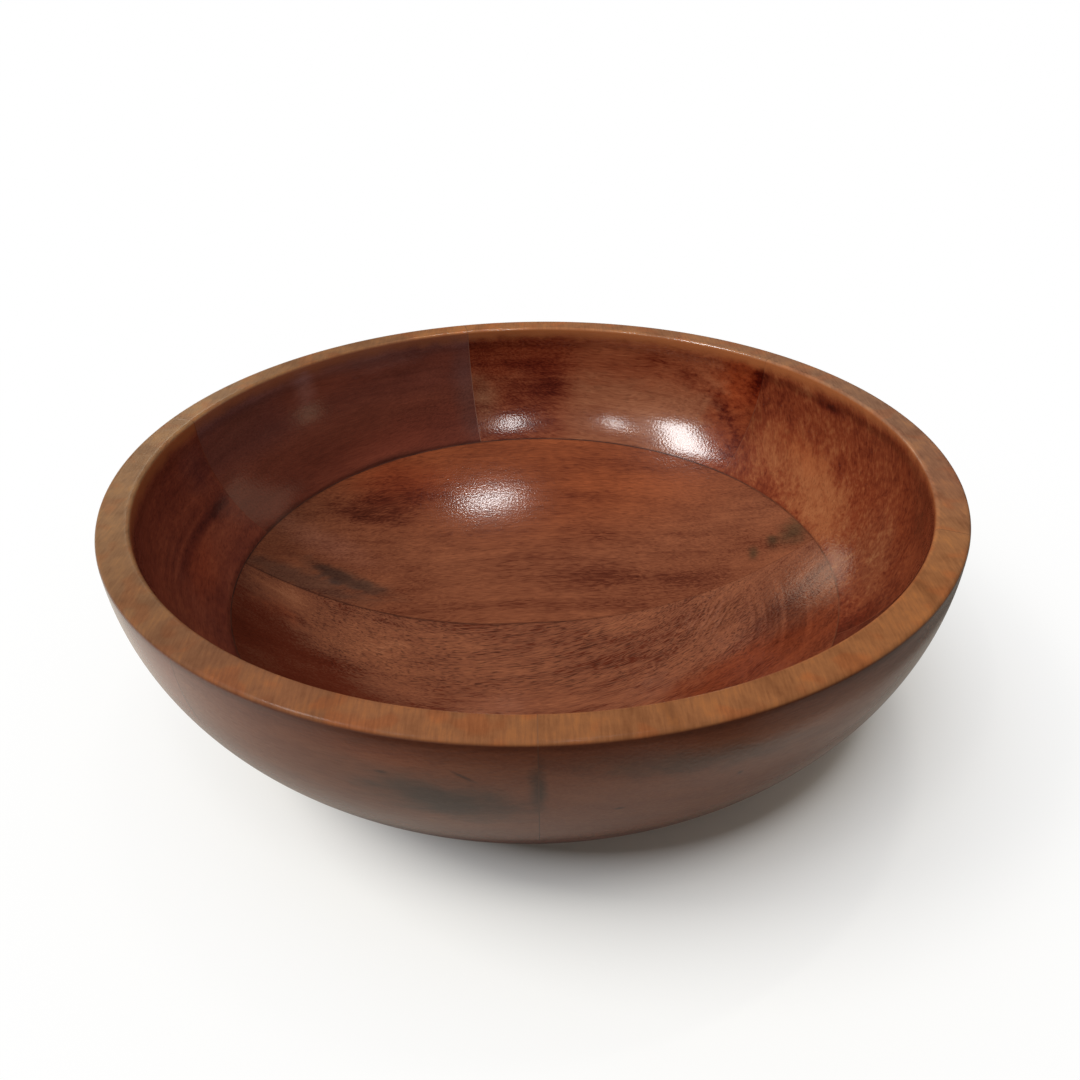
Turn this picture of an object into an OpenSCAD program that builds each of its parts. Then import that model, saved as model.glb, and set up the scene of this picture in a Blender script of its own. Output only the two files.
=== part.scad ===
// Turned wooden serving bowl, glued up before turning.
// A ring of six wall segments, butted end to end, stands on a base of two edge-glued boards.
// Both layers are turned together. Inside and outside, one arc shapes the ring and one the base,
// and the two run into each other smoothly at the glue plane between the layers.
// The frame: Z is the turning axis, the foot stands on Z = 0, and -Y faces the front.

/* [Bowl] */
// Diameter across the outside of the rim
rim_d = 300; // [260:1:340]
// Height from the foot to the top of the rim
bowl_h = 95; // [86:0.5:104]
// Diameter of the flat foot
foot_d = 144; // [120:1:170]
// Width of the flat rim, from the outside to the inside
rim_w = 10.8; // [8:0.1:14]
// Radius of the rounding along both edges of the rim
edge_r = 1.5; // [0.5:0.1:3]
// Radius of the outside curve of the wall, seen in section
outer_wall_r = 88; // [78:1:100]
// Thickness of the floor at its middle
floor_t = 9.5; // [7:0.5:14]
// Diameter of the level middle of the floor
floor_flat_d = 20; // [4:1:60]

/* [Glue-up] */
// Height of the wall ring, from the glue plane to the top of the rim
ring_h = 49; // [42:0.5:56]
// Thickness of every glue line
glue_t = 0.3; // [0.1:0.05:0.5]

/* [Wall joints] */
// Angle of the joint at the right, towards the back, from +X
right_back_joint_angle = 40.5; // [30:0.5:50]
// Angle of the joint at the back
back_joint_angle = 102.75; // [95:0.25:110]
// Angle of the joint at the left
left_joint_angle = 165.5; // [155:0.5:175]
// Angle of the joint at the left, towards the front
left_front_joint_angle = 230; // [220:0.5:240]
// Angle of the joint at the front
front_joint_angle = 270; // [262:0.5:278]
// Angle of the joint at the right, towards the front
right_front_joint_angle = 335.5; // [325:0.5:345]

/* [Base boards] */
// Distance of the joint between the boards behind the axis
board_joint_y = 11; // [-30:0.5:30]
// Turn of that joint about the axis
board_joint_turn = 2.5; // [-10:0.5:10]

/* [Hidden] */
$fn = 180;

rim_r = rim_d / 2;
mouth_r = rim_r - rim_w;
foot_r = foot_d / 2;
flat_r = floor_flat_d / 2;

// Both walls leave the rim's rounding upright at this height
wall_top = bowl_h - edge_r;
// Underside of the ring, and top of the base below the glue
ring_z = bowl_h - ring_h;
base_z = ring_z - glue_t;

wall_depth = ring_h - edge_r;

// Outside: the ring's arc has turned by outer_turn at the glue plane, at radius outer_joint_r.
// The base's arc takes up its direction there and ends at the edge of the foot.
outer_wall_cr = rim_r - outer_wall_r;
outer_turn = asin(wall_depth / outer_wall_r);
outer_joint_r = outer_wall_cr + outer_wall_r * cos(outer_turn);
to_foot = [foot_r - outer_joint_r, -ring_z];
to_centre = [-cos(outer_turn), sin(outer_turn)];
outer_base_r = (to_foot * to_foot) / (2 * to_foot * to_centre);
outer_base_cr = outer_joint_r + outer_base_r * to_centre.x;
outer_base_cz = ring_z + outer_base_r * to_centre.y;

// Inside: the ring's arc starts upright at the rim, and the base's arc ends level at the floor's flat.
// They share a tangent at the glue plane, where the ring's arc has turned by inner_turn.
floor_depth = wall_top - floor_t;
slope_w = mouth_r - flat_r;
tangent_sum = slope_w + floor_depth;
tangent_gap = slope_w - floor_depth + wall_depth;
tangent_root = sqrt(tangent_sum^2 - 4 * wall_depth * tangent_gap);
inner_turn = 2 * atan((tangent_sum - tangent_root) / (2 * wall_depth));
inner_wall_r = wall_depth / sin(inner_turn);
inner_wall_cr = mouth_r - inner_wall_r;
inner_base_r = (floor_depth - wall_depth) / (1 - sin(inner_turn));
inner_base_cz = floor_t + inner_base_r;

// Glue in a wall joint is a thin wedge, glue_t thick at the middle of the rim
joint_r = rim_r - rim_w / 2;
joint_turn = glue_t / joint_r * 180 / PI;
wall_joint_angles = [
    right_back_joint_angle,
    back_joint_angle,
    left_joint_angle,
    left_front_joint_angle,
    front_joint_angle,
    right_front_joint_angle
];

// Half section from z0 to z1 of a disc of radius r centred at [cr, cz], filled in to the axis
module disc_section(cr, cz, r, z0, z1) {
    intersection() {
        union() {
            translate([cr, cz]) circle(r);
            translate([0, z0]) square([cr, z1 - z0]);
        }
        translate([0, z0]) square([rim_d, z1 - z0]);
    }
}

// Half section of the rim: flat on top, with both edges rounded
module rim_section() {
    translate([mouth_r + edge_r, wall_top]) square([rim_w - 2 * edge_r, edge_r]);
    for (r = [mouth_r + edge_r, rim_r - edge_r])
        translate([r, wall_top])
            intersection() {
                circle(edge_r);
                translate([-edge_r, 0]) square([2 * edge_r, edge_r]);
            }
}

// Half section of the wall ring
module ring_section() {
    difference() {
        disc_section(outer_wall_cr, wall_top, outer_wall_r, ring_z, wall_top);
        translate([inner_wall_cr, wall_top]) circle(inner_wall_r);
        translate([0, ring_z]) square([inner_wall_cr, wall_depth]);
    }
    rim_section();
}

// Half section of the base, or of a layer of it, from z0 to z1
module base_section(z0, z1) {
    difference() {
        disc_section(outer_base_cr, outer_base_cz, outer_base_r, z0, z1);
        translate([flat_r, inner_base_cz]) circle(inner_base_r);
        translate([0, floor_t]) square([flat_r, inner_base_r]);
    }
}

// The ring between two joints, less half of the glue at each end
module wall_segment(from, to) {
    rotate_extrude(start = from + joint_turn / 2, angle = to - from - joint_turn)
        ring_section();
}

// The side of the board joint towards +Y, moved on by dy
module behind_joint(dy) {
    rotate([0, 0, board_joint_turn])
        translate([-rim_d, board_joint_y + dy, -bowl_h])
            cube([2 * rim_d, 2 * rim_d, 3 * bowl_h]);
}

module turned_base() {
    rotate_extrude() base_section(0, base_z);
}

module wall_segment_back_right() {
    color("sienna") wall_segment(right_back_joint_angle, back_joint_angle);
}

module wall_segment_back_left() {
    color("#4a2018") wall_segment(back_joint_angle, left_joint_angle);
}

module wall_segment_left() {
    color("#5e2416") wall_segment(left_joint_angle, left_front_joint_angle);
}

module wall_segment_front_left() {
    color("#6b3420") wall_segment(left_front_joint_angle, front_joint_angle);
}

module wall_segment_front_right() {
    color("#74391f") wall_segment(front_joint_angle, right_front_joint_angle);
}

module wall_segment_right() {
    color("#8a4526") wall_segment(right_front_joint_angle, right_back_joint_angle + 360);
}

module segment_glue_lines() {
    color("#2c140d")
        for (joint_angle = wall_joint_angles)
            rotate_extrude(start = joint_angle - joint_turn / 2, angle = joint_turn) ring_section();
}

module ring_glue_line() {
    color("#2c140d") rotate_extrude() base_section(base_z, ring_z);
}

module floor_board_front() {
    color("#7d3b22")
        difference() {
            turned_base();
            behind_joint(-glue_t / 2);
        }
}

module floor_board_rear() {
    color("#85431f")
        intersection() {
            turned_base();
            behind_joint(glue_t / 2);
        }
}

module board_glue_line() {
    color("#2c140d")
        intersection() {
            turned_base();
            difference() {
                behind_joint(-glue_t / 2);
                behind_joint(glue_t / 2);
            }
        }
}

wall_segment_back_right();
wall_segment_back_left();
wall_segment_left();
wall_segment_front_left();
wall_segment_front_right();
wall_segment_right();
segment_glue_lines();
ring_glue_line();
floor_board_front();
floor_board_rear();
board_glue_line();
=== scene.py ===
import math

import bmesh
import bpy
from mathutils import Matrix, Vector


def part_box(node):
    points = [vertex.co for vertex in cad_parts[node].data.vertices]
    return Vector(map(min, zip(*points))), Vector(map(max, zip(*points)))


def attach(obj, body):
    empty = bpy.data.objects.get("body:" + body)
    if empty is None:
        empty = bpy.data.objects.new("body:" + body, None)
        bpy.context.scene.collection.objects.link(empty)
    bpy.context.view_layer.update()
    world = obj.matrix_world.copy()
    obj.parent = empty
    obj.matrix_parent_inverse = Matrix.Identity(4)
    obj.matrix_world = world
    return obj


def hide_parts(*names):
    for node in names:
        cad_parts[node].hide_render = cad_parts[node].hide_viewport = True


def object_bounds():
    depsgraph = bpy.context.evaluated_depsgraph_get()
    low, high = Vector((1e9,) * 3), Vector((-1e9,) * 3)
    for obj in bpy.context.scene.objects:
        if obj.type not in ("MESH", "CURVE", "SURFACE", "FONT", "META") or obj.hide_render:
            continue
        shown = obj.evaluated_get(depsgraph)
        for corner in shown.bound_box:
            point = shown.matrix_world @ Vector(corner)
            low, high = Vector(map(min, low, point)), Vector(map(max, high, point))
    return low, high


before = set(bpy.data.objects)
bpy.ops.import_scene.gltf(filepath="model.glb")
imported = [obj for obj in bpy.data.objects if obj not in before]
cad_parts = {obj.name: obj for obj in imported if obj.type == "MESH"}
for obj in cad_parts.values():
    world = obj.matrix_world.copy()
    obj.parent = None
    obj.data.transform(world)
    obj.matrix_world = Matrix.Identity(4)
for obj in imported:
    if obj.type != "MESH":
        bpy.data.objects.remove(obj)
cad_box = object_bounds()

# The bowl's sizes in millimetres. The heights come from the frame, the others are those of the part's source.
MM = 0.001
bowl_h = cad_box[1].z / MM
ring_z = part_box("wall_segment_left")[0].z / MM
base_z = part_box("floor_board_front")[1].z / MM
rim_r = 150.0
rim_w = 10.8
edge_r = 1.5
outer_wall_r = 88.0
foot_r = 72.0
floor_t = 9.5
flat_r = 10.0
glue_t = ring_z - base_z
board_joint_y = 11.0
board_joint_turn = math.radians(2.5)

# The wall joints, in degrees from +X, anticlockwise from above
joint_right_back = 40.5
joint_back = 102.75
joint_left = 165.5
joint_left_front = 230.0
joint_front = 270.0
joint_right_front = 335.5

# The turned profile: one arc each for ring and base, inside and outside, as the lathe leaves them
mouth_r = rim_r - rim_w
rim_middle_r = rim_r - rim_w / 2
wall_top = bowl_h - edge_r
rim_start, rim_full = wall_top + 0.2, bowl_h - 0.4
under_rim = wall_top - 0.3
wall_depth = wall_top - ring_z
outer_wall_cr = rim_r - outer_wall_r
outer_turn = math.asin(wall_depth / outer_wall_r)
outer_joint_r = outer_wall_cr + outer_wall_r * math.cos(outer_turn)
to_foot = Vector((foot_r - outer_joint_r, -ring_z))
to_centre = Vector((-math.cos(outer_turn), math.sin(outer_turn)))
outer_base_r = to_foot.dot(to_foot) / (2 * to_foot.dot(to_centre))
outer_base_cr = outer_joint_r + outer_base_r * to_centre.x
outer_base_cz = ring_z + outer_base_r * to_centre.y
floor_depth = wall_top - floor_t
slope_w = mouth_r - flat_r
tangent_sum = slope_w + floor_depth
tangent_gap = slope_w - floor_depth + wall_depth
tangent_root = math.sqrt(tangent_sum ** 2 - 4 * wall_depth * tangent_gap)
inner_turn = 2 * math.atan((tangent_sum - tangent_root) / (2 * wall_depth))
inner_wall_r = wall_depth / math.sin(inner_turn)
inner_wall_cr = mouth_r - inner_wall_r
inner_base_r = (floor_depth - wall_depth) / (1 - math.sin(inner_turn))
inner_base_cz = floor_t + inner_base_r


def arc(cr, cz, r, start, end, steps):
    """Points of an arc in the half section, as (radius, height), ends included."""
    turns = [start + (end - start) * i / steps for i in range(steps + 1)]
    return [(cr + r * math.cos(a), cz + r * math.sin(a)) for a in turns]


def outer_base_turn(z):
    """Angle on the outside base arc at height z."""
    return math.asin((z - outer_base_cz) / outer_base_r)


def outer_base_radius(z):
    return outer_base_cr + outer_base_r * math.cos(outer_base_turn(z))


def inner_base_radius(z):
    return flat_r + math.sqrt(inner_base_r ** 2 - (inner_base_cz - z) ** 2)


def inner_base_height(r):
    """Height of the floor's surface at radius r."""
    return inner_base_cz - math.sqrt(inner_base_r ** 2 - max(0.0, r - flat_r) ** 2)


def ring_profile(wall_steps=28, edge_steps=6, lip=0.4):
    """Outside and inside skins of the ring, each from the inside edge of the rim's flat to the glue plane."""
    outside = [(mouth_r + edge_r, bowl_h), (mouth_r + edge_r + lip, bowl_h), (rim_r - edge_r - lip, bowl_h)]
    outside += arc(rim_r - edge_r, wall_top, edge_r, math.pi / 2, 0, edge_steps)
    outside += arc(outer_wall_cr, wall_top, outer_wall_r, 0, -outer_turn, wall_steps)[1:]
    inside = arc(mouth_r + edge_r, wall_top, edge_r, math.pi / 2, math.pi, edge_steps)
    inside += arc(inner_wall_cr, wall_top, inner_wall_r, 0, -inner_turn, wall_steps + 3)[1:]
    return outside, inside


def base_profile(joint_y, to_axis, arc_steps=40, foot_steps=10, lip=0.6):
    """Inside and outside skins of a board, each from its joint or the axis to the glue plane."""
    start = [0.0, joint_y / 2, joint_y] if to_axis else [joint_y]
    inside = [(r, inner_base_height(r)) for r in start]
    outside = [(r, 0.0) for r in start]
    first = math.asin((inner_base_height(joint_y) - inner_base_cz) / inner_base_r)
    last = math.asin((base_z - inner_base_cz) / inner_base_r)
    inside += arc(flat_r, inner_base_cz, inner_base_r, first, last, arc_steps)[1:]
    flat_end = foot_r - lip
    outside += [(joint_y + (flat_end - joint_y) * i / foot_steps, 0.0) for i in range(1, foot_steps + 1)]
    outside += arc(outer_base_cr, outer_base_cz, outer_base_r, outer_base_turn(0.0),
                   outer_base_turn(base_z), arc_steps - foot_steps - 1)
    return inside, outside


def ring_glue_profile():
    """Top and bottom of the glue between ring and base, from the inside to the outside."""
    top = [(inner_wall_cr + inner_wall_r * math.cos(inner_turn), ring_z), (outer_joint_r, ring_z)]
    bottom = [(inner_base_radius(base_z), base_z), (outer_base_radius(base_z), base_z)]
    return top, bottom


def node_in(tree, kind, links=None, **props):
    """Adds a node, sets its properties, and links or sets its inputs by name or number."""
    made = tree.nodes.new(kind)
    for key, value in props.items():
        setattr(made, key, value)
    for key, value in (links or {}).items():
        if isinstance(value, bpy.types.NodeSocket):
            tree.links.new(value, made.inputs[key])
        else:
            made.inputs[key].default_value = value
    return made


# Points closer than same_spot are one, faces smaller than no_area are dropped, both in metres.
# Edges that turn by more than sharp_corner stay sharp.
same_spot = 1e-6
no_area = 1e-12
sharp_corner = math.radians(35)


def turned_piece_tree():
    """Geometry Nodes that sweep both skins of a profile round the turning axis and close the edges.

    The input mesh holds the profile's points: the first skin's rows, then the second's.
    A joint offset moves the two ends from radial planes to a flat joint that far from the axis.
    """
    tree = bpy.data.node_groups.new("turned_piece", "GeometryNodeTree")
    sockets = [("Profile", "Geometry"), ("Rows", "Int"), ("Steps", "Int"), ("From Angle", "Float"),
               ("To Angle", "Float"), ("Joint Offset", "Float"), ("Closed Ring", "Bool"),
               ("First Skin Inside", "Float"), ("Material", "Material")]
    for name, kind in sockets:
        tree.interface.new_socket(name, in_out="INPUT", socket_type="NodeSocket" + kind)
    tree.interface.new_socket("Piece", in_out="OUTPUT", socket_type="NodeSocketGeometry")
    given = tree.nodes.new("NodeGroupInput").outputs

    def add(kind, links=None, **props):
        """Adds a node and gives its first output."""
        return node_in(tree, kind, links, **props).outputs[0]

    def math_of(operation, a, b=0.0):
        return add("ShaderNodeMath", {0: a, 1: b}, operation=operation)

    columns = math_of("ADD", given["Steps"], 1.0)
    position = add("GeometryNodeInputPosition")

    def on_the_lathe(sample, along):
        """Where a profile point lies, turned by its share of the way from one end to the other."""
        point = add("GeometryNodeSampleIndex", {"Geometry": given["Profile"], "Value": position,
                                                "Index": sample}, data_type="FLOAT_VECTOR")
        section = node_in(tree, "ShaderNodeSeparateXYZ", {0: point}).outputs
        ratio = math_of("DIVIDE", given["Joint Offset"], section["X"])
        shift = math_of("ARCSINE", add("ShaderNodeClamp", {0: ratio, 1: -1.0, 2: 1.0}))
        start = math_of("ADD", given["From Angle"], shift)
        span = math_of("SUBTRACT", math_of("SUBTRACT", given["To Angle"], shift), start)
        turn = math_of("ADD", start, math_of("MULTIPLY", span, along))
        x = math_of("MULTIPLY", section["X"], math_of("COSINE", turn))
        y = math_of("MULTIPLY", section["X"], math_of("SINE", turn))
        return add("ShaderNodeCombineXYZ", {0: x, 1: y, 2: section["Z"]})

    def patch(across, down, sample_at, along_at, flipped, side=None, at_joint=False):
        """A grid laid over one face of the piece."""
        grid = add("GeometryNodeMeshGrid", {"Vertices X": across, "Vertices Y": down})
        index = add("GeometryNodeInputIndex")
        i = math_of("FLOOR", math_of("DIVIDE", index, down))
        j = math_of("MODULO", index, down)
        spot = on_the_lathe(sample_at(i, j), along_at(i, j))
        done = add("GeometryNodeSetPosition", {"Geometry": grid, "Position": spot})
        if side is None:
            area = add("GeometryNodeInputMeshFaceArea")
            empty = add("FunctionNodeCompare", {"A": area, "B": no_area}, operation="LESS_THAN")
            done = add("GeometryNodeDeleteGeometry", {"Geometry": done, "Selection": empty}, domain="FACE")
        if at_joint:
            flat = add("ShaderNodeVectorMath", {0: position, 1: (1.0, 1.0, 0.0)}, operation="MULTIPLY")
            radius = node_in(tree, "ShaderNodeVectorMath", {0: flat}, operation="LENGTH").outputs["Value"]
            reach = math_of("ABSOLUTE", given["Joint Offset"])
            within = add("FunctionNodeCompare", {"A": radius, "B": reach}, operation="LESS_THAN")
            drop = add("FunctionNodeBooleanMath", {0: within, 1: given["Closed Ring"]}, operation="OR")
            done = add("GeometryNodeDeleteGeometry", {"Geometry": done, "Selection": drop}, domain="FACE")
        if flipped:
            done = add("GeometryNodeFlipFaces", {"Mesh": done})
        return add("GeometryNodeStoreNamedAttribute", {"Geometry": done, "Name": "inside", "Value": side or 0.0},
                   data_type="FLOAT", domain="FACE")

    rows, steps = given["Rows"], given["Steps"]
    second = math_of("SUBTRACT", 1.0, given["First Skin Inside"])
    last = math_of("SUBTRACT", rows, 1.0)

    def along_steps(i, j):
        return math_of("DIVIDE", j, steps)

    def across_skins(i, j):
        return math_of("ADD", i, math_of("MULTIPLY", j, rows))

    patches = [
        patch(rows, columns, lambda i, j: i, along_steps, False, side=given["First Skin Inside"]),
        patch(rows, columns, lambda i, j: math_of("ADD", i, rows), along_steps, True, side=second),
        patch(rows, 2, across_skins, lambda i, j: 0.0, True, at_joint=True),
        patch(rows, 2, across_skins, lambda i, j: 1.0, False, at_joint=True),
        patch(2, columns, lambda i, j: math_of("ADD", last, math_of("MULTIPLY", i, rows)), along_steps, False),
        patch(2, columns, lambda i, j: math_of("MULTIPLY", i, rows), along_steps, True),
    ]
    join = node_in(tree, "GeometryNodeJoinGeometry")
    for made in patches:
        tree.links.new(made, join.inputs[0])
    merged = add("GeometryNodeMergeByDistance", {"Geometry": join.outputs[0], "Distance": same_spot})
    smooth = add("GeometryNodeSetShadeSmooth", {"Geometry": merged, "Shade Smooth": True})
    corner = add("GeometryNodeInputMeshEdgeAngle")
    sharp = add("FunctionNodeCompare", {"A": corner, "B": sharp_corner}, operation="GREATER_THAN")
    edged = add("GeometryNodeStoreNamedAttribute", {"Geometry": smooth, "Name": "sharp_edge", "Value": sharp},
                data_type="BOOLEAN", domain="EDGE")
    real = add("GeometryNodeRealizeInstances", {"Geometry": edged})
    done = add("GeometryNodeSetMaterial", {"Geometry": real, "Material": given["Material"]})
    tree.links.new(done, tree.nodes.new("NodeGroupOutput").inputs[0])
    return tree


turned_tree = turned_piece_tree()


def turned_mesh(name, profile, start, end, steps, material, joint_offset=0.0, closed=False, first_inside=0.0):
    """The plain mesh that the turned-piece tree makes of a profile, in metres."""
    first, second = profile
    mesh = bpy.data.meshes.new(name + "_profile")
    mesh.from_pydata([(r * MM, 0.0, z * MM) for r, z in first + second], [], [])
    lathe = bpy.data.objects.new(name + "_profile", mesh)
    bpy.context.scene.collection.objects.link(lathe)
    turned = lathe.modifiers.new("turned", "NODES")
    turned.node_group = turned_tree
    values = {"Rows": len(first), "Steps": steps, "From Angle": start, "To Angle": end,
              "Joint Offset": joint_offset * MM, "Closed Ring": closed,
              "First Skin Inside": first_inside, "Material": material}
    for socket in turned_tree.interface.items_tree:
        if socket.name in values:
            turned[socket.identifier] = values[socket.name]
    seen = lathe.evaluated_get(bpy.context.evaluated_depsgraph_get())
    made = bpy.data.meshes.new_from_object(seen)
    made.name = name
    made.materials.clear()
    made.materials.append(material)
    made.polygons.foreach_set("material_index", [0] * len(made.polygons))
    bpy.data.objects.remove(lathe)
    bpy.data.meshes.remove(mesh)
    return made


def place(name, mesh, node, slot):
    """Puts a finished mesh into the scene as the piece that stands for a CAD node."""
    piece = bpy.data.objects.new(name, mesh)
    bpy.context.scene.collection.objects.link(piece)
    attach(piece, "root")
    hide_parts(node)
    return piece


def joined(name, meshes):
    """One mesh of several, with the first one's material."""
    build = bmesh.new()
    for mesh in meshes:
        build.from_mesh(mesh)
    made = bpy.data.meshes.new(name)
    build.to_mesh(made)
    build.free()
    made.materials.append(meshes[0].materials[0])
    for mesh in meshes:
        bpy.data.meshes.remove(mesh)
    return made


def board_glue_mesh(name, material, stations=160):
    """The film of glue between the boards: a thin upright slab that follows the floor and the underside."""
    half = outer_base_radius(base_z)
    corners, faces = [], []
    cut = math.cos(board_joint_turn), math.sin(board_joint_turn)
    for i in range(stations + 1):
        for y in (board_joint_y - glue_t / 2, board_joint_y + glue_t / 2):
            reach = math.sqrt(half ** 2 - y ** 2)
            x = -reach * math.cos(math.pi * i / stations)
            r = math.hypot(x, y)
            top = min(base_z, inner_base_height(min(r, inner_base_radius(base_z))))
            low = 0.0
            if r > foot_r:
                low = outer_base_cz - math.sqrt(max(0.0, outer_base_r ** 2 - (r - outer_base_cr) ** 2))
            if i in (0, stations):
                low = top
            for z in (top, low):
                corners.append(((x * cut[0] - y * cut[1]) * MM, (x * cut[1] + y * cut[0]) * MM, z * MM))
    for i in range(stations):
        a, b = 4 * i, 4 * i + 4
        faces += [(a, b, b + 2, a + 2), (a + 1, a + 3, b + 3, b + 1), (a, a + 1, b + 1, b),
                  (a + 2, b + 2, b + 3, a + 3)]
    mesh = bpy.data.meshes.new(name)
    mesh.from_pydata(corners, [], faces)
    build = bmesh.new()
    build.from_mesh(mesh)
    bmesh.ops.remove_doubles(build, verts=build.verts, dist=0.1 * same_spot)
    bmesh.ops.recalc_face_normals(build, faces=build.faces)
    build.to_mesh(mesh)
    build.free()
    mesh.materials.append(material)
    return mesh


# Materials. Lengths are millimetres on the bowl. Bearings are degrees from the back, positive to the right.
mm_per_degree = math.radians(1.0) * mouth_r
lacquer_gloss = 0.75
lacquer_rough = 0.15
lacquer_relief = 0.032
bare_shine = 0.03

# Colours round the rim: 0 and 1 are at the front, 0.25 at the left, 0.5 at the back and 0.75 at the right
# The tones are paler at the left, back and right partly from the sanded wood and partly as painted sheen.
rim_colours_and_sheen = [
    (0.0, (0.245, 0.096, 0.038)), (0.06, (0.24, 0.095, 0.042)), (0.1, (0.19, 0.08, 0.038)),
    (0.14, (0.2, 0.097, 0.046)), (0.2, (0.25, 0.132, 0.064)), (0.3, (0.25, 0.133, 0.064)),
    (0.42, (0.23, 0.107, 0.048)), (0.46, (0.32, 0.13, 0.05)), (0.7, (0.252, 0.131, 0.077)),
    (0.78, (0.255, 0.113, 0.06)), (0.82, (0.3, 0.128, 0.052)), (0.86, (0.29, 0.112, 0.04)),
    (1.0, (0.245, 0.096, 0.038)),
]


class Finish:
    """The nodes of one material."""

    def __init__(self, name):
        self.material = bpy.data.materials.new(name)
        self.material.use_nodes = True
        self.tree = self.material.node_tree
        self.tree.nodes.clear()
        spot = self.add("TexCoord").outputs["Object"]
        self.spot = self.put("VectorMath", {0: spot, "Scale": 1 / MM}, operation="SCALE")
        self.x, self.y, self.z = self.add("SeparateXYZ", {0: self.spot}).outputs
        self.bearing = self.times(self.calc("ARCTAN2", self.x, self.y), math.degrees(1.0))
        level = self.put("CombineXYZ", {0: self.x, 1: self.y})
        self.radius = self.add("VectorMath", {0: level}, operation="LENGTH").outputs["Value"]
        self.inside = self.add("Attribute", attribute_name="inside").outputs["Fac"]

    def add(self, kind, links=None, **props):
        return node_in(self.tree, "ShaderNode" + kind, links, **props)

    def put(self, kind, links=None, **props):
        """Adds a node and gives its first output."""
        return self.add(kind, links, **props).outputs[0]

    def calc(self, operation, a, b=0.0, c=0.0, **props):
        return self.put("Math", {0: a, 1: b, 2: c}, operation=operation, **props)

    def minus(self, a, b, **props):
        return self.calc("SUBTRACT", a, b, **props)

    def apart(self, a, b):
        """How far two values are apart."""
        return self.calc("ABSOLUTE", self.minus(a, b))

    def lift(self, value, factor, base, **props):
        """A value times a factor, plus a base."""
        return self.calc("MULTIPLY_ADD", value, factor, base, **props)

    def times(self, *factors):
        product = factors[0]
        for factor in factors[1:]:
            product = self.calc("MULTIPLY", product, factor)
        return product

    def fade(self, value, start, end):
        """0 at start, 1 at end, and smooth between them."""
        return self.put("MapRange", {"Value": value, "From Min": start, "From Max": end},
                        interpolation_type="SMOOTHSTEP")

    def band(self, value, middle, half, soft):
        """1 near the middle of a band, fading over soft beyond half its width."""
        return self.fade(self.apart(value, middle), half + soft, half)

    def noise(self, at, size, detail=2.0, rough=0.5, seed=0.0):
        """Cloudy noise from 0 to 1, with features of the given size along each axis."""
        place = self.put("Mapping", {"Vector": at, "Location": (seed, seed * 1.7, seed * 0.6),
                                     "Scale": [1.0 / s for s in size]})
        return self.put("TexNoise", {"Vector": place, "Scale": 1.0, "Detail": detail, "Roughness": rough})

    def mix(self, share, a, b, blend="MIX"):
        return self.add("Mix", {0: share, 6: a, 7: b}, data_type="RGBA", blend_type=blend).outputs[2]

    def tinted(self, value, stops):
        """Colours between the stops, each a position and a colour."""
        ramp = self.add("ValToRGB", {0: value})
        elements = ramp.color_ramp.elements
        while len(elements) < len(stops):
            elements.new(1.0)
        for element, (position, colour) in zip(elements, stops):
            element.position = position
            element.color = (*colour, 1.0)
        return ramp.outputs[0]


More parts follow.
